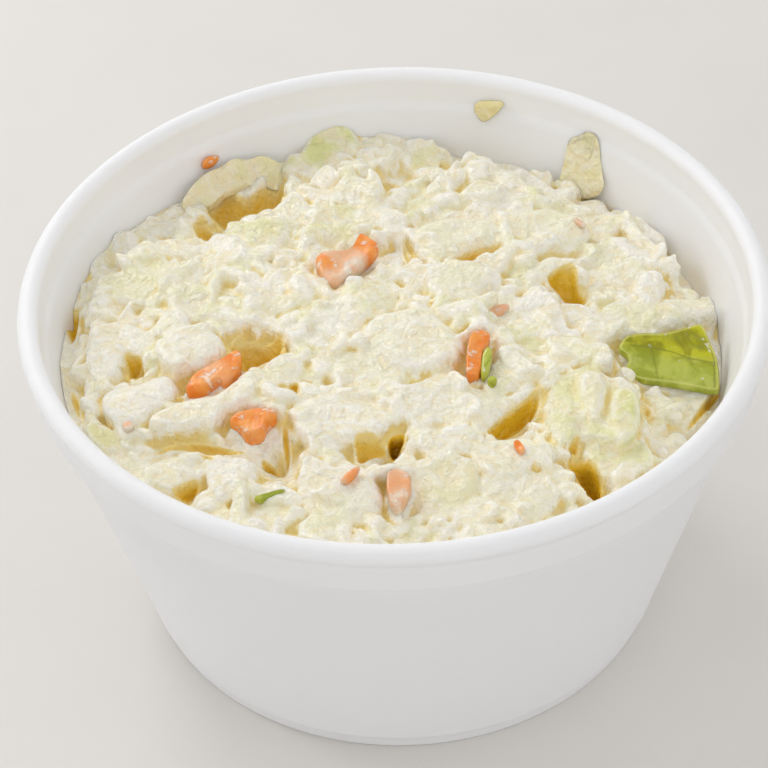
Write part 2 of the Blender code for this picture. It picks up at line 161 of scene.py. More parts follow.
# Pieces that stand out in the photograph, those at the back first: outline in its pixels, thickness,
# lean up towards the back, bare share and green share
SEEN_PIECES = {
    "back_leaf": (
        [(300, 156), (308, 130), (330, 113), (346, 117), (362, 136), (352, 158), (322, 174)],
        0.9, 0.25, 0.8, 0.8),
    "back_fold": (
        [(405, 150), (432, 139), (454, 150), (458, 170), (440, 184), (414, 178)], 1.2, 0.2, 0.8, 0.2),
    "back_bar": (
        [(488, 168), (503, 163), (534, 188), (537, 205), (521, 209), (500, 192)], 1.6, 0.1, 0.3, 0.1),
    "tip_foot": ([(572, 192), (600, 187), (612, 199), (605, 215), (578, 213)], 1.6, 0.1, 0.1, 0.0),
    "arch_side": (
        [(288, 174), (299, 180), (308, 200), (302, 222), (290, 228), (284, 208)], 1.2, 0.1, 0.5, 0.3),
    "crescent": (
        [(294, 182), (318, 187), (345, 191), (366, 193), (384, 198), (403, 188), (412, 193), (398, 206),
         (372, 210), (338, 207), (311, 198)], 1.3, 0.1, 0.2, 0.0),
    "below_the_arch": (
        [(222, 233), (240, 222), (262, 217), (288, 215), (293, 227), (284, 244), (256, 255), (238, 246)],
        1.1, 0.1, 0.6, 0.5),
    "left_block": (
        [(114, 229), (126, 226), (141, 228), (142, 246), (133, 261), (117, 253)], 1.6, 0.15, 0.2, 0.0),
    "left_strip": (
        [(149, 226), (176, 213), (202, 205), (208, 212), (197, 226), (178, 237), (154, 239)],
        1.2, 0.1, 0.2, 0.0),
    "left_band": (
        [(150, 240), (180, 235), (196, 241), (222, 246), (240, 247), (236, 257), (200, 260), (163, 255)],
        1.0, 0.1, 0.4, 0.1),
    "lens": (
        [(217, 292), (240, 293), (262, 298), (296, 290), (313, 286), (307, 300), (284, 311), (262, 314),
         (238, 305)], 1.1, 0.2, 0.7, 0.3),
    "lump": (
        [(413, 224), (440, 215), (470, 213), (497, 221), (502, 236), (480, 246), (452, 256), (425, 258),
         (411, 244)], 2.4, 0.0, 0.4, 0.2),
    "lump_left": (
        [(356, 212), (385, 204), (409, 212), (407, 238), (396, 244), (384, 232), (368, 226)],
        1.3, 0.0, 0.2, 0.0),
    "lump_front": (
        [(404, 265), (420, 266), (442, 273), (470, 268), (496, 262), (502, 282), (470, 294), (430, 292),
         (400, 281)], 1.4, 0.1, 0.2, 0.0),
    "right_lumps": (
        [(505, 214), (545, 204), (580, 215), (592, 234), (562, 250), (520, 248), (500, 234)],
        1.8, 0.0, 0.4, 0.3),
    "over_the_right_spot": (
        [(518, 268), (548, 252), (572, 256), (592, 270), (578, 275), (562, 266), (540, 277), (523, 284)],
        1.3, 0.1, 0.3, 0.2),
    "right_of_the_spot": (
        [(590, 236), (625, 231), (650, 250), (656, 275), (630, 286), (600, 278)], 1.2, 0.0, 0.5, 0.2),
    "pale_patch": (
        [(636, 268), (656, 262), (665, 282), (656, 301), (640, 303), (631, 286)], 1.4, 0.2, 0.0, 0.0),
    "right_shelf": (
        [(598, 302), (640, 296), (672, 303), (692, 316), (660, 326), (620, 329), (600, 320)],
        1.2, 0.1, 0.5, 0.4),
    "under_the_right_spot": (
        [(545, 302), (585, 299), (604, 312), (640, 329), (612, 335), (566, 325)], 1.1, 0.1, 0.3, 0.1),
    "far_left": (
        [(94, 320), (128, 317), (160, 330), (166, 350), (152, 355), (130, 347), (125, 372), (100, 381),
         (89, 350)], 1.6, 0.0, 0.2, 0.1),
    "left_middle": (
        [(166, 330), (200, 318), (222, 326), (229, 338), (222, 352), (200, 362), (178, 366), (160, 350)],
        1.5, 0.0, 0.2, 0.1),
    "left_rib": (
        [(107, 386), (150, 372), (178, 369), (184, 384), (160, 407), (140, 417), (119, 416), (107, 402)],
        2.2, 0.0, 0.1, 0.0),
    "bar_between_carrots": (
        [(152, 411), (186, 394), (204, 389), (225, 386), (243, 369), (257, 364), (265, 371), (255, 392),
         (230, 402), (222, 414), (190, 420), (160, 421)], 1.8, 0.0, 0.3, 0.2),
    "beside_the_carrot": (
        [(262, 364), (280, 350), (298, 346), (307, 358), (300, 374), (287, 379), (270, 376)],
        1.8, 0.0, 0.4, 0.1),
    "middle_chunk": (
        [(362, 319), (395, 303), (430, 305), (452, 322), (457, 345), (438, 362), (405, 363), (373, 350)],
        2.0, 0.0, 0.3, 0.3),
    "flat_piece": (
        [(338, 352), (356, 347), (396, 356), (409, 368), (400, 385), (345, 385), (335, 370)],
        0.9, 0.0, 0.5, 0.0),
    "wide_piece": (
        [(296, 393), (330, 385), (372, 391), (397, 405), (384, 429), (350, 434), (306, 436), (294, 418)],
        1.2, 0.0, 0.2, 0.0),
    "long_shred": (
        [(466, 416), (486, 403), (512, 387), (528, 374), (536, 380), (522, 398), (504, 413), (482, 430),
         (470, 427)], 1.9, 0.0, 0.2, 0.1),
    "folded_leaf": (
        [(544, 383), (570, 361), (596, 363), (612, 377), (632, 380), (638, 404), (631, 433), (606, 437),
         (578, 431), (553, 440), (543, 412)], 1.7, 0.05, 0.8, 0.3),
    "fold_ridge": (
        [(572, 364), (592, 362), (602, 374), (598, 404), (590, 414), (576, 398)], 1.4, 0.1, 0.8, 0.0),
    "fold_side": (
        [(606, 382), (628, 381), (637, 404), (629, 432), (611, 435), (604, 410)], 1.2, 0.1, 1.0, 0.7),
    "below_the_leaf": (
        [(655, 392), (690, 391), (714, 393), (706, 404), (692, 430), (668, 434), (655, 424), (658, 404)],
        1.2, 0.2, 0.4, 0.0),
    "front_right_leaf": (
        [(581, 434), (612, 440), (640, 432), (656, 460), (638, 470), (606, 478), (592, 462), (580, 452)],
        1.1, 0.1, 0.7, 0.4),
    "front_right_bar": ([(644, 425), (668, 440), (672, 452), (658, 456), (644, 440)], 1.5, 0.1, 0.3, 0.0),
    "front_fan": (
        [(408, 456), (440, 446), (474, 451), (480, 488), (462, 519), (425, 522), (412, 500)],
        1.0, 0.25, 0.7, 0.1),
    "front_slope": (
        [(478, 446), (510, 456), (545, 470), (562, 490), (540, 518), (490, 523), (478, 500)],
        1.2, 0.2, 0.4, 0.0),
    "front_left_slope": (
        [(305, 440), (345, 465), (380, 468), (384, 508), (350, 527), (310, 515), (297, 480)],
        1.4, 0.2, 0.3, 0.1),
    "round_chunk": (
        [(210, 458), (219, 446), (259, 450), (262, 466), (247, 484), (222, 495), (209, 474)],
        2.2, 0.0, 0.1, 0.0),
    "left_chunk": (
        [(166, 450), (204, 446), (209, 460), (203, 475), (173, 486), (145, 468), (152, 456)],
        2.0, 0.0, 0.4, 0.1),
    "corner_chip": ([(194, 489), (209, 481), (224, 496), (214, 504), (200, 502)], 1.4, 0.0, 0.1, 0.0),
    "yellow_edge": ([(84, 421), (108, 417), (126, 431), (119, 450), (100, 446)], 0.9, 0.2, 1.0, 0.2),
}
SEEN_STEPS = 40
SEEN_THINNING = 0.9
SEEN_WEIGHT = 2.0

# The leaf and the carrot pieces: outline in the photograph's pixels and thickness
TOPPINGS = {
    "green_leaf": (
        [(617, 349), (624, 336), (640, 333), (662, 333), (682, 328), (699, 322), (703, 324), (711, 342),
         (719, 364), (720, 388), (715, 390), (679, 385), (656, 382), (639, 379), (623, 369), (630, 357)],
        0.9),
    "carrot_1": (
        [(314, 258), (322, 250), (345, 250), (358, 241), (361, 229), (380, 242), (374, 252), (352, 270),
         (333, 284), (321, 273)], 2.2),
    "carrot_2": (
        [(183, 390), (193, 371), (218, 360), (236, 347), (242, 350), (240, 366), (225, 382), (218, 376),
         (203, 387)], 2.3),
    "carrot_3": (
        [(228, 420), (235, 411), (259, 406), (279, 409), (268, 417), (263, 430), (246, 434), (239, 424)],
        2.4),
    "carrot_4": (
        [(387, 470), (396, 465), (409, 471), (412, 484), (406, 498), (398, 507), (390, 501), (386, 485)],
        2.0),
    "carrot_5": (
        [(466, 374), (466, 352), (470, 333), (479, 327), (491, 331), (488, 342), (482, 352), (481, 373)],
        2.0),
}
TOPPING_PROUD = 0.6
TOPPING_MARGIN = 0.2
BIT_PROUD = 0.06
BIT_LEAN = 0.1
BIT_RIM_VEIL = 0.45

# The leaf's veins and its fold, as lines in pixels
LEAF_VEINS = [
    [(651, 347), (656, 366), (658, 383)],
    [(651, 347), (670, 351), (690, 359), (716, 364)],
    [(651, 347), (630, 345)],
    [(706, 330), (714, 360), (715, 388)],
]

# Sections of the leaf and the carrot pieces, from the underside round the edge to the top: how far
# out each ring lies, and how high, from -1 to 1
LEAF_RINGS = [(0.97, -1.0), (1.0, -0.5), (1.0, 0.4), (0.985, 0.85), (0.96, 1.0)]
LEAF_RINGS += [(share, 1.0) for share in np.linspace(0.92, 0.05, 26)]
LEAF_STEPS = 170
LEAF_RIPPLE = 0.12
CARROT_RINGS = [(0.9, -1.0), (1.0, -0.6), (1.0, 0.3), (0.985, 0.7), (0.94, 0.93)]
CARROT_RINGS += [(share, 1.0) for share in (0.86, 0.74, 0.6, 0.45, 0.3, 0.15)]
CARROT_STEPS = 64
CARROT_RIPPLE = 0.06

# How much dressing veils each carrot piece: at its ends, in its middle, and low on its front
CARROT_VEILS = {
    "carrot_1": (0.0, 0.75, 0.75),
    "carrot_2": (0.0, 0.3, 0.0),
    "carrot_3": (0.0, 0.1, 0.1),
    "carrot_4": (0.75, 0.55, 0.35),
    "carrot_5": (0.0, 0.2, 0.0),
}

# Small bits: outline in pixels, thickness and, for carrot, how much dressing veils it
CARROT_BITS = {
    "right_of_front": ([(512, 442), (518, 439), (526, 450), (522, 454)], 0.8, 0.0),
    "left_of_front": ([(338, 482), (346, 473), (358, 465), (361, 467), (350, 481)], 0.8, 0.3),
    "veiled_right": ([(484, 315), (492, 307), (507, 303), (511, 306), (498, 316)], 0.7, 0.6),
    "veiled_back": ([(572, 216), (582, 219), (587, 226), (578, 224)], 0.6, 0.75),
    "veiled_left": ([(122, 424), (132, 422), (134, 431), (124, 433)], 0.6, 0.7),
}
GREEN_BITS = {
    "beside_the_carrot": ([(482, 352), (488, 345), (493, 349), (490, 366), (485, 374), (480, 373)], 1.6),
    "dot": ([(486, 380), (491, 374), (498, 377), (494, 384)], 0.9),
    "sliver": ([(252, 494), (262, 490), (280, 484), (287, 484), (272, 491), (258, 496)], 0.9),
}

# Bits on the wall: outline in pixels, thickness and looks
WALL_CARROT = (
    [(201, 168), (203, 159), (212, 155), (221, 156), (216, 165), (207, 170)], 0.9, {"veil": 0.15})
# The chip's gold value is a faint even golden tint, the same all over
WALL_CHIP = (
    [(473, 106), (480, 100), (507, 101), (498, 113), (484, 124), (476, 116)], 0.8,
    {"tint": 1.0, "green": 0.1, "gold": 0.12})
WALL_BIT_STEPS = 28
WALL_BIT_RINGS = [(0.0, 0.0), (1.0, 0.0), (0.95, 0.55), (0.8, 0.85), (0.5, 1.0), (0.0, 1.0)]

# What the rest of the heap is made of; lengths are ranges, and tint goes from cream to bare cabbage
KINDS = {
    "leaf_bit": {
        "count": 120, "length": (7.0, 12.0), "width": (5.0, 8.5), "thickness": (0.5, 0.9), "lean": 0.24,
        "curl": (0.0, 0.16), "ripple": 0.22, "sunk": 0.55, "corners": 5, "rounds": 1, "steps": 30,
        "tint": (0.0, 0.8), "green": (0.0, 0.6),
    },
    "rib": {
        "count": 90, "length": (5.0, 9.0), "width": (3.0, 5.0), "thickness": (1.0, 1.7), "lean": 0.22,
        "curl": (0.0, 0.1), "ripple": 0.08, "sunk": 0.5, "corners": 6, "rounds": 2, "steps": 26,
        "tint": (0.0, 0.5), "green": (0.0, 0.3),
    },
    "shred": {
        "count": 60, "length": (8.0, 13.0), "width": (1.8, 2.8), "thickness": (0.6, 1.0), "lean": 0.16,
        "curl": (-0.05, 0.14), "ripple": 0.12, "sunk": 0.55, "corners": 7, "rounds": 1, "steps": 30,
        "tint": (0.0, 0.7), "green": (0.0, 0.5),
    },
    "crumb": {
        "count": 520, "length": (2.0, 4.6), "width": (1.3, 3.0), "thickness": (0.4, 0.9), "lean": 0.25,
        "curl": (0.0, 0.1), "ripple": 0.04, "sunk": 0.5, "corners": 5, "rounds": 1, "steps": 16,
        "tint": (0.0, 0.7), "green": (0.0, 0.6),
    },
}
UNDER_SHARE = 0.7
TRIES_FOR_A_PLACE = 10
CORNER_CUT = 0.22
CORNER_SWING = 0.38
CORNER_REACH = (0.72, 1.25)
EDGE_ROUNDING = (0.4, 1.0)
SEEN_ROUNDING = 2.6
SEEN_RIPPLE = 0.14
SEEN_CURL = 0.03
SEEN_SUNK = 0.5

# The heap's edge, lower than the core at the wall but banked up at the back
EDGE_ZONE = (30.0, 39.5)
EDGE_SINK = 1.1
BACK_BANK = 2.6
BACK_BANK_AT = 96.0
BACK_BANK_WIDTH = 17.0

# The dressing between the pieces
MAP_CELL = 0.22
LEVEL_CELLS = 5
GAP_WEIGHT = 0.02
DRESSING_GRID = 310
DRESSING_VEIL = 0.9
PLAIN_TINT = 0.2
COVER_LENGTH = 4.5
COVER_SPAN = (-0.35, 0.35)
COVER_LEAST = 0.6
COVER_MOST = 1.1
LUMP_LENGTH = 2.2
LUMP_HEIGHT = 0.16
GAP_CALM = 0.85
EDGE_CALM = 0.7
EDGE_CALM_WIDTH = 1.8
CREEP_RISE = 0.5
CREEP_WIDTH = 0.8

# Pieces that stand up at the back: outline and foot in the photograph's pixels, lean and thickness
STANDING_PIECES = {
    "tip": (
        [(556, 190), (563, 166), (567, 146), (573, 137), (584, 134), (590, 129), (601, 131),
         (604, 146), (601, 166), (605, 190), (590, 198), (570, 198)], (580, 192), (1.0, 1.3), 1.3),
    "arch_leaf": (
        [(180, 206), (190, 190), (205, 174), (222, 168), (232, 159), (250, 161), (262, 155),
         (280, 163), (296, 180), (294, 200), (282, 190), (262, 186), (240, 190), (222, 197),
         (208, 210), (190, 218)], (240, 196), (-0.5, 0.7), 1.0),
}
STANDING_STEPS = 60
STANDING_CURL = 0.02
STANDING_RIPPLE = 0.08
# Standing pieces: a faint even golden tint, and no painted crest highlight
STANDING_LOOKS = {"tint": 0.7, "green": 0.1, "gold": 0.07, "crest": 0.0}

# The studio sky is brighter near the horizon: from what height up, and how strong low and high
SKY_HEIGHTS = (0.35, 0.85)
SKY_STRENGTHS = (0.9, 0.45)
SKY_COLOUR = (0.985, 0.99, 1.0, 1)

# Soft lights, aimed at one spot: place, size in metres, power in watts and colour
LIT_SPOT = (0, 0, 35)
LIGHTS = {
    "back_window": ((-240, 420, 430), (0.26, 0.2), 0.85, (1.0, 0.99, 0.97)),
    "side_window": ((-430, 150, 330), (0.12, 0.15), 0.35, (1, 1, 1)),
    "overhead": ((120, -160, 600), (0.5, 0.5), 0.62, (1, 1, 1)),
}
FLOOR_HALF = 1500.0


def srgb(red, green, blue):
    """A colour given as 0 to 255, as the shaders' linear values."""
    shares = [c / 255 for c in (red, green, blue)]
    return tuple(s / 12.92 if s <= 0.04045 else ((s + 0.055) / 1.055) ** 2.4 for s in shares)


CREAM = srgb(252, 248, 236)
# White of the painted highlight along crests
CREST_HIGHLIGHT_WHITE = srgb(254, 252, 246)
BARE_CABBAGE = srgb(241, 233, 184)
GREEN_CABBAGE = srgb(226, 228, 142)
# Golden colours of painted shade in hollows, creases and gaps, palest to deepest
PALE_GOLD_SHADE = srgb(240, 216, 140)
GOLD_SHADE = srgb(236, 190, 44)
DEEP_GOLD_SHADE = srgb(168, 118, 4)
LEAF_LIGHT = (srgb(190, 196, 84), srgb(196, 194, 22))
LEAF_DARK = (srgb(158, 168, 44), srgb(148, 146, 4))
LEAF_VEIN = srgb(128, 134, 34)
LEAF_MARGIN = srgb(222, 218, 120)
CARROT_ORANGE = (srgb(246, 136, 44), srgb(252, 164, 78))
CARROT_THIN_VEIL = srgb(240, 184, 140)
CARROT_THICK_VEIL = srgb(240, 224, 204)
FOAM_WHITES = (srgb(242, 242, 243), srgb(246, 246, 247))
FLOOR_TONES = (srgb(226, 222, 216), srgb(232, 229, 224))


# Small helpers for meshes and materials


def link(name, data):
    made = bpy.data.objects.new(name, data)
    bpy.context.scene.collection.objects.link(made)
    return made


def mesh_from(name, points, faces):
    """A mesh from points in millimetres."""
    mesh = bpy.data.meshes.new(name)
    mesh.from_pydata((np.asarray(points) * MM).tolist(), [], faces)
    mesh.update()
    return mesh


def points_of(mesh):
    flat = np.empty(len(mesh.vertices) * 3, np.float32)
    mesh.vertices.foreach_get("co", flat)
    return flat.reshape(-1, 3).astype(float) / MM


def add_piece(name, points, faces, looks, material, node, slot):
    """A finished piece that replaces a node, with a value at each point for each of its looks."""
    mesh = mesh_from(name, points, faces)
    mesh.shade_smooth()
    for key, values in looks.items():
        layer = mesh.attributes.new(key, "FLOAT", "POINT")
        layer.data.foreach_set("value", np.array(np.broadcast_to(values, len(points)), np.float32))
    mesh.materials.append(material)
    piece = link(name, mesh)
    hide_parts(node)
    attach(piece, "root")
    return mesh


def smoothstep(low, high, values):
    share = np.clip((values - low) / (high - low), 0, 1)
    return share * share * (3 - 2 * share)


class Nodes:
    """A material's nodes, made and wired by short calls."""

    def __init__(self, name):
        self.material = bpy.data.materials.new(name)
        self.material.use_nodes = True
        self.tree = self.material.node_tree
        self.shader = self.tree.nodes["Principled BSDF"]
        self.shader.subsurface_method = "BURLEY"

    def add(self, kind, inputs=None, **settings):
        node = self.tree.nodes.new("ShaderNode" + kind)
        for key, value in settings.items():
            setattr(node, key, value)
        for key, value in (inputs or {}).items():
            self.feed(node.inputs[key], value)
        return node

    def feed(self, socket, value):
        if isinstance(value, bpy.types.NodeSocket):
            self.tree.links.new(value, socket)
        elif isinstance(value, tuple) and len(value) == 3 and socket.type == "RGBA":
            socket.default_value = (*value, 1.0)
        else:
            socket.default_value = value

    def set(self, **values):
        for key, value in values.items():
            self.feed(self.shader.inputs[key.replace("_", " ")], value)

    def attribute(self, name):
        return self.add("Attribute", attribute_name=name).outputs["Fac"]

    def place(self):
        return self.add("TexCoord").outputs["Object"]

    def noise(self, scale, detail=3.0, roughness=0.55, distortion=0.0):
        inputs = {
            "Vector": self.place(),
            "Scale": scale,
            "Detail": detail,
            "Roughness": roughness,
            "Distortion": distortion,
        }
        return self.add("TexNoise", inputs).outputs["Fac"]

    def ramp(self, value, low, high, to_low=0.0, to_high=1.0):
        inputs = {
            "Value": value,
            "From Min": low,
            "From Max": high,
            "To Min": to_low,
            "To Max": to_high,
        }
        return self.add("MapRange", inputs, interpolation_type="SMOOTHSTEP").outputs["Result"]

    def math(self, operation, a, b=0.0):
        return self.add("Math", {0: a, 1: b}, operation=operation).outputs[0]

    def total(self, *terms):
        """The sum of values, each times its factor."""
        total = 0.0
        for value, factor in terms:
            total = self.math("ADD", self.math("MULTIPLY", value, factor), total)
        return total

    def mix(self, share, a, b):
        node = self.add("Mix", data_type="RGBA")
        self.feed(node.inputs["Factor"], share)
        self.feed(node.inputs[6], a)
        self.feed(node.inputs[7], b)
        return node.outputs[2]

    def layer(self, colour, share, factor, top):
        """A colour with some of another laid over it."""
        return self.mix(self.math("MULTIPLY", share, factor), colour, top)

    def bump(self, height, distance, strength):
        inputs = {"Height": height, "Distance": distance, "Strength": strength}
        return self.add("Bump", inputs).outputs["Normal"]


# Camera, floor and light


def camera_axes():
    """The camera's right, up and forward directions."""
    forward = Vector(CAMERA_FORWARD).normalized()
    right = forward.cross(Vector(CAMERA_UP)).normalized()
    return right, right.cross(forward), forward


def add_camera():
    right, up, forward = camera_axes()
    data = bpy.data.cameras.new("camera")
    data.lens = CAMERA_LENS
    data.sensor_width = CAMERA_SENSOR
    data.clip_start = 0.01
    camera = link("camera", data)
    turn = Matrix((right, up, -forward)).transposed().to_4x4()
    camera.matrix_world = Matrix.Translation(Vector(CAMERA_PLACE) * MM) @ turn
    bpy.context.scene.camera = camera


def add_lights():
    for name, (place, size, power, colour) in LIGHTS.items():
        data = bpy.data.lights.new(name, "AREA")
        data.shape = "RECTANGLE"
        data.size, data.size_y = size
        data.energy = power
        data.color = colour
        lamp = link(name, data)
        lamp.location = Vector(place) * MM
        lamp.rotation_euler = (Vector(LIT_SPOT) - Vector(place)).to_track_quat("-Z", "Y").to_euler()


def add_studio():
    """The sky, which is dimmer overhead, and the lights."""
    world = bpy.data.worlds.new("studio")
    world.use_nodes = True
    tree = world.node_tree
    sky = tree.nodes["Background"]
    sky.inputs["Color"].default_value = SKY_COLOUR
    direction = tree.nodes.new("ShaderNodeTexCoord")
    parts = tree.nodes.new("ShaderNodeSeparateXYZ")
    strength = tree.nodes.new("ShaderNodeMapRange")
    strength.interpolation_type = "SMOOTHSTEP"
    strength.inputs["From Min"].default_value, strength.inputs["From Max"].default_value = SKY_HEIGHTS
    strength.inputs["To Min"].default_value, strength.inputs["To Max"].default_value = SKY_STRENGTHS
    tree.links.new(direction.outputs["Generated"], parts.inputs["Vector"])
    tree.links.new(parts.outputs["Z"], strength.inputs["Value"])
    tree.links.new(strength.outputs["Result"], sky.inputs["Strength"])
    bpy.context.scene.world = world
    bpy.context.scene.view_settings.view_transform = "Standard"
    add_lights()


def add_floor():
    corners = [(FLOOR_HALF * x, FLOOR_HALF * y, 0) for x, y in ((-1, -1), (1, -1), (1, 1), (-1, 1))]
    mesh = mesh_from("floor", corners, [(0, 1, 2, 3)])
    floor = link("floor", mesh)
    nodes = Nodes("pale_floor")
    nodes.set(Base_Color=nodes.mix(nodes.noise(40.0), *FLOOR_TONES), Roughness=0.6)
    mesh.materials.append(nodes.material)


# Cup


def arc(centre, radius, start, end, steps):
    angles = [math.radians(start + (end - start) * i / steps) for i in range(steps + 1)]
    return [(centre[0] + radius * math.cos(a), centre[1] + radius * math.sin(a)) for a in angles]


def inner_radius(z):
    """The cup's inside radius at a height on its straight wall."""
    share = (z - INNER_BOTTOM) / (INNER_TOP - INNER_BOTTOM)
    return INNER_BOTTOM_RADIUS + share * (INNER_TOP_RADIUS - INNER_BOTTOM_RADIUS)


def cup_profile():
    """The cup's section, as in the model but with every corner rounded and faint moulded rings."""
    foot_inner = FOOT_RADIUS - FOOT_WIDTH
    outside = [
        (0, FOOT_RECESS),
        (foot_inner - 0.9, FOOT_RECESS),
        (foot_inner - 0.5, FOOT_RECESS - 0.15),
        (foot_inner - 0.15, 0.15),
        (foot_inner + 0.1, 0.0),
        *arc((FOOT_RADIUS - 0.4, 0.4), 0.4, -90, 0, 4),
        (FOOT_RADIUS, WALL_BOTTOM - 0.85),
        *arc((WALL_BOTTOM_RADIUS - 0.28, WALL_BOTTOM - 0.1), 0.32, -100, 0, 4),
        (WALL_BOTTOM_RADIUS + 0.12, WALL_BOTTOM + 0.5),
        (WALL_TOP_RADIUS - 0.13, WALL_TOP - 0.5),
        (WALL_TOP_RADIUS + 0.05, WALL_TOP + 0.1),
        (BAND_RADIUS - 0.45, BAND_BOTTOM - 0.35),
        *arc((BAND_RADIUS - 0.35, BAND_BOTTOM + 0.15), 0.35, -60, 0, 3),
    ]
    bead_centre = (RIM_RADIUS - BEAD_RADIUS, CUP_HEIGHT - BEAD_RADIUS)
    bead = [
        (BAND_RADIUS + 0.02, CUP_HEIGHT - 2 * BEAD_RADIUS - 0.5),
        (BAND_RADIUS + 0.08, CUP_HEIGHT - 2 * BEAD_RADIUS - 0.05),
        *arc(bead_centre, BEAD_RADIUS, -48, 185, 22),
    ]
    inside = [
        (LEDGE_RADIUS + 0.2, LEDGE_TOP + 0.5),
        (LEDGE_RADIUS + 0.03, LEDGE_TOP),
        (LEDGE_RADIUS, LEDGE_BOTTOM + 0.2),
        (LEDGE_RADIUS - 0.12, LEDGE_BOTTOM - 0.12),
        (INNER_TOP_RADIUS + 0.1, INNER_TOP + 0.1),
        (INNER_TOP_RADIUS - 0.03, INNER_TOP - 0.15),
    ]
    for i in range(MOULDED_RINGS):
        z = INNER_TOP - 0.8 - i * RING_STEP
        inside.append((inner_radius(z) + RING_DEPTH * (i % 2), z))
    inside.append((inner_radius(20.0), 20.0))
    fillet_centre = (INNER_BOTTOM_RADIUS - FLOOR_FILLET, INNER_BOTTOM)
    inside += arc(fillet_centre, FLOOR_FILLET, 0, -90, 5)
    return outside + bead + inside + [(0, INNER_BOTTOM - FLOOR_FILLET)]


def spun(profile, segments):
    """A closed turned form from a profile of (radius, height) that starts and ends on the axis."""
    points, faces, rings = [], [], []
    for r, z in profile:
        if r == 0:
            rings.append([len(points)] * segments)
            points.append((0, 0, z))
            continue
        rings.append(list(range(len(points), len(points) + segments)))
        turns = [2 * math.pi * i / segments for i in range(segments)]
        points.extend((r * math.cos(a), r * math.sin(a), z) for a in turns)
    for low, high in zip(rings, rings[1:]):
        for i in range(segments):
            j = (i + 1) % segments
            loop = [low[i], low[j], high[j], high[i]]
            faces.append([v for k, v in enumerate(loop) if v != loop[k - 1]])
    return points, faces


def foam_material():
    """White expanded foam: pressed beads, satin, a little light passing through."""
    nodes = Nodes("white_foam")
    beads = nodes.add("TexVoronoi", {"Vector": nodes.place(), "Scale": 420.0}, feature="F1")
    tone = nodes.mix(nodes.noise(35.0, 2.0), *FOAM_WHITES)
    speckle = nodes.ramp(nodes.noise(900.0, 1.0), 0.3, 0.7, 0.40, 0.56)
    height = nodes.total((beads.outputs["Distance"], 0.35), (nodes.noise(260.0, 2.0), 0.5))
    nodes.set(
        Base_Color=tone,
        Roughness=speckle,
        Normal=nodes.bump(height, 0.00008, 0.4),
        Subsurface_Weight=0.25,
        Subsurface_Scale=0.003,
        Subsurface_Radius=(1.0, 0.95, 0.9),
    )
    return nodes.material


# Sight lines of the photograph


def sight_lines(pixels):
    """The start of the sight lines through the photograph's pixels, and their directions."""
    right, up, forward = (np.array(axis) for axis in camera_axes())
    across = (np.asarray(pixels, float) - PHOTO_WIDTH / 2) * CAMERA_SENSOR / CAMERA_LENS / PHOTO_WIDTH
    return np.array(CAMERA_PLACE), forward + across[:, :1] * right - across[:, 1:] * up


def seen_at(pixels, z, slope=(0.0, 0.0), about=(0.0, 0.0)):
    """Where the sight lines through the photograph's pixels meet a plane, of height z at about."""
    start, lines = sight_lines(pixels)
    normal = np.array((-slope[0], -slope[1], 1.0))
    height = z - slope[0] * about[0] - slope[1] * about[1]
    return start + lines * ((height - start @ normal) / (lines @ normal))[:, None]


def seen_on_wall(pixels, inset):
    """Where sight lines meet the far side of the cup's inner wall, moved inwards by the insets."""
    start, lines = sight_lines(pixels)
    z = np.full(len(lines), INNER_TOP)
    for _ in range(12):
        limit = inner_radius(z) - inset
        a = lines[:, 0] ** 2 + lines[:, 1] ** 2
        b = lines[:, 0] * start[0] + lines[:, 1] * start[1]
        c = start[0] ** 2 + start[1] ** 2 - limit**2
        reach = (-b + np.sqrt(np.maximum(b * b - a * c, 0))) / a
        z = start[2] + reach * lines[:, 2]
    return start + lines * reach[:, None]


# Heap


def smooth_height(x, y):
    """The height of the core's top without its hollows."""
    turn = math.atan2(y, x) - EDGE_DIP_TOWARDS
    edge = CORE_EDGE_Z - EDGE_DIP * math.cos(turn)
    share = min(1.0, math.hypot(x, y) / 37.5)
    swell = SWELL_HEIGHT * noise.noise(Vector((x / SWELL_LENGTH, y / SWELL_LENGTH, 7.3)))
    return edge + (CORE_CENTRE_Z - edge) * (1 - share**2) + swell


def hollow_depth(x, y):
    depth = 0.0
    for (cx, cy), half_length, half_width, heading, deepest in HOLLOWS:
        turn = math.radians(heading)
        along = (x - cx) * math.cos(turn) + (y - cy) * math.sin(turn)
        across = (y - cy) * math.cos(turn) - (x - cx) * math.sin(turn)
        depth += deepest * math.exp(-((along / half_length) ** 2) - (across / half_width) ** 2)
    return depth


def rounded(corners, rounds=2):
    """A closed outline with its corners cut off, and cut again."""
    outline = np.asarray(corners, float)
    near, far = 1 - CORNER_CUT, CORNER_CUT
    for _ in range(rounds):
        following = np.roll(outline, -1, axis=0)
        cuts = [near * outline + far * following, far * outline + near * following]
        outline = np.stack(cuts, axis=1).reshape(-1, outline.shape[1])
    return outline


def even_steps(outline, count):
    """The closed outline again, with evenly spaced points, turning left."""
    loop = np.concatenate([outline, outline[:1]])
    along = np.concatenate([[0], np.cumsum(np.linalg.norm(np.diff(loop, axis=0), axis=1))])
    steps = np.linspace(0, along[-1], count, endpoint=False)
    made = np.stack([np.interp(steps, along, loop[:, k]) for k in range(outline.shape[1])], axis=1)
    area = made[:, 0] @ np.roll(made[:, 1], -1) - made[:, 1] @ np.roll(made[:, 0], -1)
    return made if area > 0 else made[::-1]


def depth_inside(spots, outline):
    """How far each spot lies inside a closed outline in plan, or outside it as a negative number."""
    nearest = np.full(len(spots), np.inf)
    inside = np.zeros(len(spots), bool)
    for a, b in zip(outline, np.roll(outline, -1, axis=0)):
        side = b - a
        share = np.clip((spots - a) @ side / max(side @ side, 1e-9), 0, 1)
        nearest = np.minimum(nearest, np.linalg.norm(spots - a - share[:, None] * side, axis=1))
        crosses = (spots[:, 1] < a[1]) != (spots[:, 1] < b[1])
        rise = side[1] if side[1] else 1e-9
        inside ^= crosses & (spots[:, 0] < a[0] + (spots[:, 1] - a[1]) * side[0] / rise)
    return np.where(inside, nearest, -nearest)


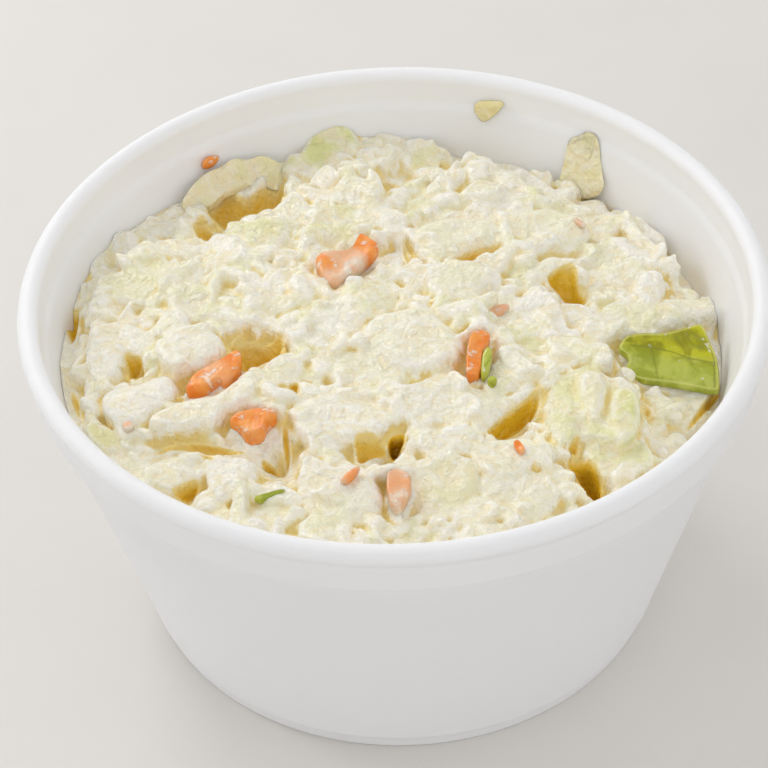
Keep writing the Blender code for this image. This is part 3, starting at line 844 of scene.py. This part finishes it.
class HeapMap:
    """The heap so far on a square grid over the cup's mouth."""

    def __init__(self):
        self.count = int(2 * RIM_RADIUS / MAP_CELL)
        middles = (np.arange(self.count) + 0.5) * MAP_CELL - RIM_RADIUS
        self.spots = np.stack(np.meshgrid(middles, middles, indexing="ij"), axis=-1)
        flat = self.spots.reshape(-1, 2).tolist()
        self.smooth = self.as_grid([smooth_height(x, y) for x, y in flat])
        reach = np.linalg.norm(self.spots, axis=-1)
        azimuth = np.degrees(np.arctan2(self.spots[..., 1], self.spots[..., 0]))
        edge = smoothstep(*EDGE_ZONE, reach)
        bank = BACK_BANK * np.exp(-(((azimuth - BACK_BANK_AT) / BACK_BANK_WIDTH) ** 2))
        self.smooth += edge * (bank - EDGE_SINK)
        self.z = self.smooth - self.as_grid([hollow_depth(x, y) for x, y in flat])
        self.taken = np.zeros_like(self.z)
        self.blocked = np.zeros(self.z.shape, bool)
        self.gap = np.zeros_like(self.z)
        self.gold = np.zeros_like(self.z)
        self.tint = np.full_like(self.z, PLAIN_TINT)
        self.green = np.zeros_like(self.z)

    def as_grid(self, values):
        return np.array(values).reshape(self.count, self.count)

    def within(self, outline, margin=0.0):
        """The grid's cells inside an outline, and how far inside they are."""
        last = self.count - 1
        low = np.clip(((outline.min(axis=0) - margin + RIM_RADIUS) / MAP_CELL).astype(int), 0, last)
        high = np.clip(((outline.max(axis=0) + margin + RIM_RADIUS) / MAP_CELL).astype(int), 0, last) + 1
        spots = self.spots[low[0]:high[0], low[1]:high[1]]
        depth = depth_inside(spots.reshape(-1, 2), outline).reshape(spots.shape[:2])
        rows, columns = np.nonzero(depth > -margin)
        return (rows + low[0], columns + low[1]), depth[rows, columns]

    def sample(self, grid, spots):
        """The values of a grid at spots in plan, between its cells too."""
        at = np.clip((spots + RIM_RADIUS) / MAP_CELL - 0.5, 0, self.count - 1.001)
        low = at.astype(int)
        i, j = low[:, 0], low[:, 1]
        u, v = (at - low).T
        near = grid[i, j] * (1 - v) + grid[i, j + 1] * v
        far = grid[i + 1, j] * (1 - v) + grid[i + 1, j + 1] * v
        return near * (1 - u) + far * u

    def settle_level(self):
        """The smooth level of the whole heap, over the gaps too."""
        weight = np.where(self.blocked & (self.taken == 0), GAP_WEIGHT, 1.0)
        self.level = masked_blur(self.z, weight, LEVEL_CELLS)
        self.fine = 0.5 * masked_blur(self.z, weight, 1) + 0.5 * np.where(weight == 1, self.z, self.level)
        # Height above the near surroundings, which drives a painted highlight along crests
        self.crest = self.z - masked_blur(self.z, weight, 2)
        self.tint = box_blur(self.tint, 1)
        self.green = box_blur(self.green, 1)


def shell_faces(count, rings):
    """The faces of a closed form: a point, rings of count points each, and a point."""
    faces = []
    last = 1 + (rings - 1) * count
    for i in range(count):
        j = (i + 1) % count
        faces.append((0, 1 + j, 1 + i))
        for low in range(1, last, count):
            faces.append((low + i, low + j, low + count + j, low + count + i))
        faces.append((last + i, last + j, last + count))
    return faces


class Flake:
    """One chopped piece that lies in the heap: a rounded outline in plan, bent and thickened."""

    RINGS = [(0.85, -1.0), (0.98, -0.5), (1.0, 0.1), (0.975, 0.6), (0.92, 0.88), (0.72, 0.99), (0.4, 1.0)]

    def __init__(self, outline, thickness, slope, curl, ripple, rng):
        self.outline = outline
        self.about = outline.mean(axis=0)
        self.half = thickness / 2
        self.slope = np.array(slope, float)
        self.z = 0.0
        away = outline - self.about
        self.axis = np.linalg.svd(away, full_matrices=False)[2][0]
        self.reach = np.abs(away @ self.axis).max()
        self.curl, self.ripple = curl, ripple
        self.wave = rng.uniform(0.45, 1.0, 2) * rng.choice([-1, 1], 2)
        self.phase = rng.uniform(0, 2 * math.pi, 2)

    def middle(self, spots):
        """The height of the piece's middle surface."""
        away = spots - self.about
        along = away @ self.axis
        across = away @ np.array((-self.axis[1], self.axis[0]))
        bend = self.curl * (along**2 / self.reach - self.reach / 3)
        ripple = np.sin(away @ self.wave + self.phase[0]) + 0.6 * np.sin(1.9 * across + self.phase[1])
        return self.z + away @ self.slope + bend + self.ripple * ripple

    def rest(self, heap, share):
        """Lowers the piece onto the heap until the given share of its underside has met it."""
        at, depth = heap.within(self.outline)
        if len(depth) == 0:
            return
        spots = heap.spots[at]
        self.z = 0.0
        gaps = heap.z[at] - (self.middle(spots) - self.half)
        self.z = float(np.quantile(gaps, share))
        tops = self.middle(spots) + self.half
        self.z -= max(0.0, float(tops.max()) - HEAP_TOP)

    def cover(self, heap, tint, green, rounding, weight=1.0):
        """Marks the piece's top and looks on the heap."""
        (rows, columns), depth = heap.within(self.outline)
        edge = np.clip(depth / rounding, 0, 1)
        tops = self.middle(heap.spots[rows, columns]) + self.half * np.sqrt(1 - (1 - edge) ** 2)
        above = tops > heap.z[rows, columns]
        rows, columns = rows[above], columns[above]
        heap.z[rows, columns] = tops[above]
        heap.tint[rows, columns] = tint
        heap.green[rows, columns] = green
        heap.taken[rows, columns] += weight

    def solid(self):
        """The closed form: a point below, rings round the edge and over the top, and a point above."""
        away = self.outline - self.about
        points = []
        for share, level in [(0.0, -1.0), *self.RINGS, (0.0, 1.0)]:
            spots = self.about + (share * away if share else 0 * away[:1])
            points.append(np.column_stack([spots, self.middle(spots) + level * self.half]))
        return np.concatenate(points), shell_faces(len(self.outline), len(self.RINGS))


def within_cup(points):
    """Presses what would cross the cup's wall back against it."""
    reach = np.hypot(points[:, 0], points[:, 1])
    limit = inner_radius(points[:, 2]) - WALL_CLEARANCE
    scale = np.minimum(1.0, limit / np.maximum(reach, 1e-6))
    held = points.copy()
    held[:, :2] *= scale[:, None]
    return held


def cut_outline(length, width, corners, rng):
    """A chopped piece's uneven outline about its middle, turned a random way."""
    swing = rng.uniform(-CORNER_SWING, CORNER_SWING, corners)
    turns = (np.arange(corners) + swing) * 2 * math.pi / corners
    reach = rng.uniform(*CORNER_REACH, corners)
    outline = np.stack([length / 2 * np.cos(turns) * reach, width / 2 * np.sin(turns) * reach], axis=1)
    heading = rng.uniform(0, 2 * math.pi)
    c, s = math.cos(heading), math.sin(heading)
    return outline @ np.array([[c, s], [-s, c]])


def scatter(heap, kind, share, rng):
    """Sets down a share of the pieces of one kind, each in the freest of a few places."""
    sort = KINDS[kind]
    for _ in range(int(sort["count"] * share)):
        length, width, thickness = (rng.uniform(*sort[key]) for key in ("length", "width", "thickness"))
        outline = rounded(cut_outline(length, width, sort["corners"], rng), sort["rounds"])
        outline = even_steps(outline, sort["steps"])
        reach = PLACING_RADIUS * np.sqrt(rng.uniform(0, 1, TRIES_FOR_A_PLACE))
        angle = rng.uniform(0, 2 * math.pi, TRIES_FOR_A_PLACE)
        places = []
        for x, y in zip(reach * np.cos(angle), reach * np.sin(angle)):
            at, _ = heap.within(outline + (x, y))
            if not heap.blocked[at].any():
                places.append((heap.taken[at].mean(), x, y))
        if not places:
            continue
        _, x, y = min(places)
        slope = rng.uniform(-sort["lean"], sort["lean"], 2)
        curl, ripple = rng.uniform(*sort["curl"]), rng.uniform(0.2, 1.0) * sort["ripple"]
        flake = Flake(outline + (x, y), thickness, slope, curl, ripple, rng)
        flake.rest(heap, sort["sunk"])
        looks = (rng.uniform(*sort["tint"]), rng.uniform(*sort["green"]))
        flake.cover(heap, *looks, rng.uniform(*EDGE_ROUNDING))


def seen_piece(heap, pixels, thickness, lean, rng):
    """A piece traced in the photograph, laid on the heap where its outline is seen."""
    z, slope, about = CORE_CENTRE_Z, np.array((0.0, lean)), np.zeros(2)
    for _ in range(3):
        outline = seen_at(rounded(pixels), z, slope, about)[:, :2]
        about = outline.mean(axis=0)
        flake = Flake(even_steps(outline, SEEN_STEPS), thickness, slope, SEEN_CURL, SEEN_RIPPLE, rng)
        flake.rest(heap, SEEN_SUNK)
        z = flake.z + thickness / 2
    return flake


def lay_seen_pieces(heap, rng):
    for pixels, thickness, lean, tint, green in SEEN_PIECES.values():
        flake = seen_piece(heap, pixels, thickness * SEEN_THINNING, lean, rng)
        flake.cover(heap, tint, green, SEEN_ROUNDING, SEEN_WEIGHT)


def gap_outline(heap, pixels, surface, rise):
    """A gap's outline in plan, where its pixels are seen on a surface of the heap."""
    z = CORE_CENTRE_Z
    for _ in range(4):
        outline = seen_at(rounded(pixels, 1), z)[:, :2]
        z = float(heap.sample(surface, outline).mean()) + rise
    return outline


def keep_gaps_clear(heap):
    for pixels, _, _ in GAPS.values():
        at, _ = heap.within(gap_outline(heap, pixels, heap.smooth, LIP_RISE), 0.15)
        heap.blocked[at] = True


def open_gaps(heap):
    """Sinks each gap below the settled level: gently from its back, and at once at its front lip."""
    for pixels, deepest, gold in GAPS.values():
        outline = gap_outline(heap, pixels, heap.level, 0.0)
        at, depth = heap.within(outline)
        low, high = outline[:, 1].min(), outline[:, 1].max()
        forward = smoothstep(0.0, GAP_BACK_SHARE, (high - heap.spots[at][:, 1]) / (high - low))
        sunk = deepest * forward * smoothstep(0.0, GAP_EDGE, depth)
        heap.gap[at] = np.maximum(heap.gap[at], sunk)
        # Painted golden shade: fainter at a gap's back, full where it sinks deepest towards its front
        shade = GOLD_AT_BACK + (1 - GOLD_AT_BACK) * np.minimum(GOLD_REACH * forward, 1)
        shown = gold * shade * smoothstep(0.0, GOLD_EDGE, depth)
        heap.gold[at] = np.maximum(heap.gold[at], shown)


def disc_grid(count):
    """An even square grid pressed into the unit disc, its quads and the points along its edge."""
    line = np.linspace(-1, 1, count)
    x, y = np.meshgrid(line, line, indexing="ij")
    wide = np.abs(x) > np.abs(y)
    reach = np.where(wide, x, y)
    lean = np.where(wide, y, x) / np.where(reach == 0, 1, reach) * math.pi / 4
    spots = np.stack([
        np.where(wide, reach * np.cos(lean), reach * np.sin(lean)),
        np.where(wide, reach * np.sin(lean), reach * np.cos(lean)),
    ], axis=-1).reshape(-1, 2)
    index = np.arange(count * count).reshape(count, count)
    quads = np.stack([index[:-1, :-1], index[1:, :-1], index[1:, 1:], index[:-1, 1:]], axis=-1)
    edge = [*index[:-1, 0], *index[-1, :-1], *index[:0:-1, -1], *index[0, :0:-1]]
    return spots, quads.reshape(-1, 4).tolist(), [int(i) for i in edge]


def box_blur(field, cells):
    """A moving mean of a square grid, twice each way."""
    kernel = np.ones(2 * cells + 1) / (2 * cells + 1)
    for _ in range(2):
        padded = np.pad(field, cells, mode="edge")
        rows = np.apply_along_axis(lambda line: np.convolve(line, kernel, "valid"), 0, padded)
        field = np.apply_along_axis(lambda line: np.convolve(line, kernel, "valid"), 1, rows)
    return field


def masked_blur(field, weight, cells):
    return box_blur(field * weight, cells) / np.maximum(box_blur(weight, cells), 1e-6)


def noise_over(spots, length, layer):
    """Smooth noise from -1 to 1 at spots in plan, with swells of the given length."""
    return np.array([noise.noise(Vector((x / length, y / length, layer))) for x, y in spots.tolist()])


def mark_sharp(mesh, ring):
    """Keeps the shading of the top and of the side apart where they meet."""
    ring = set(ring)
    for edge in mesh.edges:
        edge.use_edge_sharp = edge.vertices[0] in ring and edge.vertices[1] in ring


def build_dressing(heap, material):
    """The creamy mass that the pieces lie in: level between them, and deep in the gaps."""
    spots, faces, rim_ring = disc_grid(DRESSING_GRID)
    plan = spots * (inner_radius(CORE_EDGE_Z) - WALL_CLEARANCE)
    level = heap.sample(heap.level, plan)
    gap = heap.sample(heap.gap, plan)
    relief = heap.sample(heap.fine, plan) - level
    lumps = noise_over(plan, LUMP_LENGTH, 1.7) + 0.5 * noise_over(plan, LUMP_LENGTH / 2, 3.3)
    cover = smoothstep(*COVER_SPAN, noise_over(plan, COVER_LENGTH, 4.1))
    follow = COVER_LEAST + (COVER_MOST - COVER_LEAST) * cover
    reach = np.linalg.norm(plan, axis=1)
    to_wall = reach.max() - reach
    calm = 1 - GAP_CALM * smoothstep(0.1, 0.8, gap)
    calm *= 1 - EDGE_CALM * smoothstep(EDGE_CALM_WIDTH, 0.0, to_wall)
    z = np.minimum(level + calm * (follow * relief + LUMP_HEIGHT * lumps), HEAP_TOP - 0.1) - gap
    z += CREEP_RISE * smoothstep(CREEP_WIDTH, 0.0, to_wall)
    points = np.column_stack([spots * (inner_radius(z) - WALL_CLEARANCE)[:, None], z]).tolist()
    rim, edge = spots[rim_ring], rim_ring
    floor = INNER_BOTTOM - FLOOR_FILLET + 0.3
    hidden = ((INNER_BOTTOM + 0.2, inner_radius(INNER_BOTTOM) - 0.3), (floor, INNER_BOTTOM_RADIUS - 1.8))
    for low, radius in hidden:
        lower = list(range(len(points), len(points) + len(edge)))
        points.extend((x * radius, y * radius, low) for x, y in rim.tolist())
        for k in range(len(edge)):
            m = (k + 1) % len(edge)
            faces.append([edge[k], lower[k], lower[m], edge[m]])
        edge = lower
    faces.append(edge[::-1])
    looks = {
        "tint": DRESSING_VEIL * heap.sample(heap.tint, plan),
        "green": heap.sample(heap.green, plan),
        # Painted golden shade in the gaps, and in creases where the dressing lies below its pieces
        "gold": np.maximum(heap.sample(heap.gold, plan), CREASE_SHADE_GOLD * smoothstep(0.1, 0.9, -relief)),
        # Painted highlight along crests
        "crest": smoothstep(0.02, 0.22, heap.sample(heap.crest, plan)),
    }
    hidden_looks = np.zeros(len(points) - len(plan))
    looks = {key: np.append(values, hidden_looks) for key, values in looks.items()}
    mark_sharp(add_piece("dressing", points, faces, looks, material, "slaw", "slaw"), rim_ring)


def slaw_material():
    nodes = Nodes("dressed_cabbage")
    tint, green, gold, crest = (nodes.attribute(key) for key in ("tint", "green", "gold", "crest"))
    broad = nodes.noise(260.0, 4.0, 0.6, 0.5)
    wet = nodes.noise(900.0, 3.0, 0.5, 0.3)
    fine = nodes.noise(2200.0, 2.0, 0.5)
    height = nodes.total((broad, 0.9), (nodes.noise(420.0, 1.0), 0.4), (wet, 0.7), (fine, 0.07))
    bare = nodes.math("MULTIPLY", tint, nodes.ramp(broad, 0.38, 0.62, 0.3, 1.2))
    # Painted shade: pale gold in the low spots of the bump's height
    hollow_shade = nodes.ramp(height, 1.09, 0.87)
    colour = nodes.mix(bare, CREAM, BARE_CABBAGE)
    colour = nodes.layer(colour, bare, green, GREEN_CABBAGE)
    colour = nodes.layer(colour, hollow_shade, 0.35, PALE_GOLD_SHADE)
    # Painted highlight: whiter along crests
    colour = nodes.layer(colour, crest, 0.45, CREST_HIGHLIGHT_WHITE)
    # Painted golden shade in gaps and creases, deepening to dark gold where it is strongest
    colour = nodes.mix(nodes.ramp(gold, 0.0, 0.3), colour, PALE_GOLD_SHADE)
    colour = nodes.mix(nodes.ramp(gold, 0.3, 0.65), colour, GOLD_SHADE)
    colour = nodes.mix(nodes.ramp(gold, 0.65, 1.0), colour, DEEP_GOLD_SHADE)
    facing = nodes.add("LayerWeight", {"Blend": 0.5}).outputs["Facing"]
    nodes.set(
        Base_Color=colour,
        Roughness=nodes.ramp(wet, 0.35, 0.65, 0.07, 0.17),
        Normal=nodes.bump(height, 0.001, nodes.ramp(facing, 0.75, 0.38, 0.0, 0.9)),
        Subsurface_Weight=0.6,
        Subsurface_Scale=0.001,
        Subsurface_Radius=(1.0, 0.8, 0.42),
        IOR=1.48,
    )
    return nodes.material


def build_slaw(material):
    rng = np.random.default_rng(21)
    heap = HeapMap()
    keep_gaps_clear(heap)
    keep_toppings_clear(heap)
    for kind in ("leaf_bit", "rib", "shred"):
        scatter(heap, kind, UNDER_SHARE, rng)
    lay_seen_pieces(heap, rng)
    for kind in ("leaf_bit", "rib", "shred"):
        scatter(heap, kind, 1 - UNDER_SHARE, rng)
    scatter(heap, "crumb", 1, rng)
    heap.settle_level()
    open_gaps(heap)
    build_dressing(heap, material)
    return heap


# Leaf and carrots


def lie_of(node):
    """The height, slope and middle in plan of a CAD node's own lie, in millimetres."""
    points = points_of(bpy.data.objects[node].data)
    about = points[:, :2].mean(axis=0)
    sides = np.column_stack([points[:, :2] - about, np.ones(len(points))])
    slope_x, slope_y, z = np.linalg.lstsq(sides, points[:, 2], rcond=None)[0]
    return z, (slope_x, slope_y), about


def topping_outline(name):
    pixels, thickness = TOPPINGS[name]
    z, slope, about = lie_of(name)
    return seen_at(rounded(pixels, 1), z + thickness / 2, slope, about)[:, :2]


def keep_toppings_clear(heap):
    """Nothing of the heap crosses the leaf or a carrot piece, and the dressing comes up round them."""
    for name, (_, thickness) in TOPPINGS.items():
        z, slope, about = lie_of(name)
        at, _ = heap.within(topping_outline(name), TOPPING_MARGIN)
        heap.blocked[at] = True
        lower = z + (heap.spots[at] - about) @ np.array(slope) + thickness / 2 - TOPPING_PROUD
        heap.z[at] = lower


class Topping(Flake):
    """The leaf or a carrot piece, lying as its CAD node lies."""

    def __init__(self, name, steps, ripple, rng):
        z, slope, about = lie_of(name)
        outline = even_steps(topping_outline(name), steps)
        super().__init__(outline, TOPPINGS[name][1], slope, 0.0, ripple, rng)
        self.z = z + float((self.about - about) @ np.array(slope))


def polyline_distance(spots, line):
    nearest = np.full(len(spots), np.inf)
    for a, b in zip(line, line[1:]):
        side = b - a
        share = np.clip((spots - a) @ side / (side @ side), 0, 1)
        nearest = np.minimum(nearest, np.linalg.norm(spots - a - share[:, None] * side, axis=1))
    return nearest


def leaf_material():
    nodes = Nodes("green_leaf_finish")
    patches = nodes.ramp(nodes.noise(330.0, 3.0, 0.6, 0.6), 0.40, 0.62)
    upper = nodes.attribute("upper")
    light = nodes.mix(upper, *LEAF_LIGHT)
    dark = nodes.mix(upper, *LEAF_DARK)
    colour = nodes.mix(patches, light, dark)
    colour = nodes.layer(colour, nodes.attribute("vein"), 0.75, LEAF_VEIN)
    colour = nodes.layer(colour, nodes.attribute("margin"), 0.8, LEAF_MARGIN)
    smear = nodes.ramp(nodes.noise(700.0, 3.0, 0.6), 0.64, 0.70)
    colour = nodes.layer(colour, smear, 0.55, CREAM)
    height = nodes.math("ADD", nodes.noise(500.0, 3.0), nodes.math("MULTIPLY", smear, 0.5))
    nodes.set(
        Base_Color=colour,
        Roughness=nodes.ramp(nodes.noise(900.0), 0.3, 0.7, 0.10, 0.26),
        Normal=nodes.bump(height, 0.0003, 0.6),
        Subsurface_Weight=0.25,
        Subsurface_Scale=0.0008,
        Subsurface_Radius=(0.8, 1.0, 0.3),
    )
    return nodes.material


def build_leaf():
    rng = np.random.default_rng(3)
    leaf = Topping("green_leaf", LEAF_STEPS, LEAF_RIPPLE, rng)
    leaf.RINGS = LEAF_RINGS
    points, faces = leaf.solid()
    plan = points[:, :2]
    z, slope, about = lie_of("green_leaf")
    veins = np.full(len(plan), np.inf)
    for pixels in LEAF_VEINS:
        line = seen_at(pixels, z + leaf.half, slope, about)[:, :2]
        veins = np.minimum(veins, polyline_distance(plan, line))
    rim = polyline_distance(plan, np.concatenate([leaf.outline, leaf.outline[:1]]))
    away = plan - leaf.about
    looks = {
        "vein": 1 - smoothstep(0.04, 0.16, veins),
        "margin": smoothstep(0.12, 0.2, rim) * (1 - smoothstep(0.25, 0.4, rim)),
        "upper": smoothstep(-1.5, 1.5, away[:, 1] + 0.2 * away[:, 0]),
    }
    add_piece("leaf_piece", within_cup(points), faces, looks, leaf_material(), "green_leaf", "leaf")


def carrot_material():
    nodes = Nodes("carrot_finish")
    veil = nodes.attribute("veil")
    grain = nodes.noise(600.0, 4.0, 0.6)
    colour = nodes.mix(nodes.ramp(grain, 0.35, 0.65), *CARROT_ORANGE)
    patchy = nodes.math("MULTIPLY", veil, nodes.ramp(nodes.noise(420.0, 3.0), 0.25, 0.7, 0.6, 1.1))
    colour = nodes.mix(nodes.ramp(patchy, 0.05, 0.6), colour, CARROT_THIN_VEIL)
    colour = nodes.mix(nodes.ramp(patchy, 0.55, 1.0), colour, CARROT_THICK_VEIL)
    smear = nodes.ramp(nodes.noise(750.0, 3.0, 0.6), 0.57, 0.66)
    colour = nodes.layer(colour, smear, 0.55, CREAM)
    grain = nodes.math("ADD", grain, nodes.math("MULTIPLY", smear, 0.6))
    nodes.set(
        Base_Color=colour,
        Roughness=nodes.ramp(nodes.noise(1100.0), 0.3, 0.7, 0.12, 0.28),
        Normal=nodes.bump(grain, 0.0004, 0.55),
        Subsurface_Weight=0.15,
        Subsurface_Scale=0.0009,
        Subsurface_Radius=(1.0, 0.5, 0.25),
    )
    return nodes.material


def build_carrots(material):
    rng = np.random.default_rng(9)
    for name, (ends, middle, front) in CARROT_VEILS.items():
        carrot = Topping(name, CARROT_STEPS, CARROT_RIPPLE, rng)
        carrot.RINGS = CARROT_RINGS
        points, faces = carrot.solid()
        away = points[:, :2] - carrot.about
        along = np.abs(away @ carrot.axis) / carrot.reach
        low = smoothstep(0.0, 0.8, -away[:, 1] / np.abs(away[:, 1]).max())
        veil = ends + (middle - ends) * (1 - smoothstep(0.2, 0.55, along)) + front * low
        looks = {"veil": np.clip(veil, 0, 1)}
        add_piece(f"{name}_piece", within_cup(points), faces, looks, material, name, "carrot")


def merged(flakes):
    """The points and faces of several pieces as one form, kept inside the cup."""
    points, faces, count = [], [], 0
    for flake in flakes:
        made, quads = flake.solid()
        points.append(made)
        faces.extend([tuple(v + count for v in face) for face in quads])
        count += len(made)
    return within_cup(np.concatenate(points)), faces


def bit_batch(heap, bits, name, material, slot, rng):
    """The smallest carrot and leaf bits, traced in the photograph and laid on the heap."""
    flakes, veils = [], []
    for pixels, thickness, *veil in bits.values():
        flake = seen_piece(heap, pixels, thickness, BIT_LEAN, rng)
        flake.z += BIT_PROUD
        flakes.append(flake)
        rim = np.linalg.norm(flake.solid()[0][:, :2] - flake.about, axis=1) / flake.reach
        veils.extend(sum(veil) + BIT_RIM_VEIL * smoothstep(0.45, 1.0, rim))
    add_piece(name, *merged(flakes), {"veil": veils, "upper": veils}, material, "slaw", slot)


def build_standing_pieces(heap, material):
    """The pieces that stand up at the back, each on the plane that it leans in."""
    rng = np.random.default_rng(6)
    flakes = []
    for pixels, foot, lean, thickness in STANDING_PIECES.values():
        z = CORE_EDGE_Z
        for _ in range(4):
            spot = seen_at([foot], z)[0, :2]
            z = float(heap.sample(heap.level, spot[None])[0])
        outline = seen_at(rounded(pixels, 1), z, np.array(lean), spot)[:, :2]
        outline = even_steps(outline, STANDING_STEPS)
        flake = Flake(outline, thickness, lean, STANDING_CURL, STANDING_RIPPLE, rng)
        flake.z = z + float((flake.about - spot) @ np.array(lean))
        flakes.append(flake)
    add_piece("standing_pieces", *merged(flakes), STANDING_LOOKS, material, "slaw", "slaw")


def wall_bit(name, pixels, thickness, looks, material, slot):
    """A bit stuck to the cup's inner wall, where its outline is seen.

    Pixel rows run downwards, so the outline is turned round for faces that look outwards.
    """
    outline = even_steps(rounded(pixels), WALL_BIT_STEPS)[::-1]
    about = outline.mean(axis=0)
    points = []
    for share, level in WALL_BIT_RINGS:
        spots = about + (share * (outline - about) if share else np.zeros((1, 2)))
        points.append(seen_on_wall(spots, WALL_CLEARANCE + level * thickness))
    faces = shell_faces(len(outline), len(WALL_BIT_RINGS) - 2)
    add_piece(name, np.concatenate(points), faces, looks, material, "slaw", slot)


def main():
    add_camera()
    add_studio()
    add_floor()
    add_piece("foam_cup", *spun(cup_profile(), CUP_SEGMENTS), {}, foam_material(), "cup", "foam")
    dressed = slaw_material()
    heap = build_slaw(dressed)
    build_standing_pieces(heap, dressed)
    build_leaf()
    carrot = carrot_material()
    build_carrots(carrot)
    rng = np.random.default_rng(4)
    bit_batch(heap, CARROT_BITS, "carrot_bits", carrot, "carrot", rng)
    bit_batch(heap, GREEN_BITS, "green_bits", leaf_material(), "leaf", rng)
    wall_bit("wall_carrot", *WALL_CARROT, carrot, "carrot")
    wall_bit("wall_chip", *WALL_CHIP, dressed, "slaw")


main()
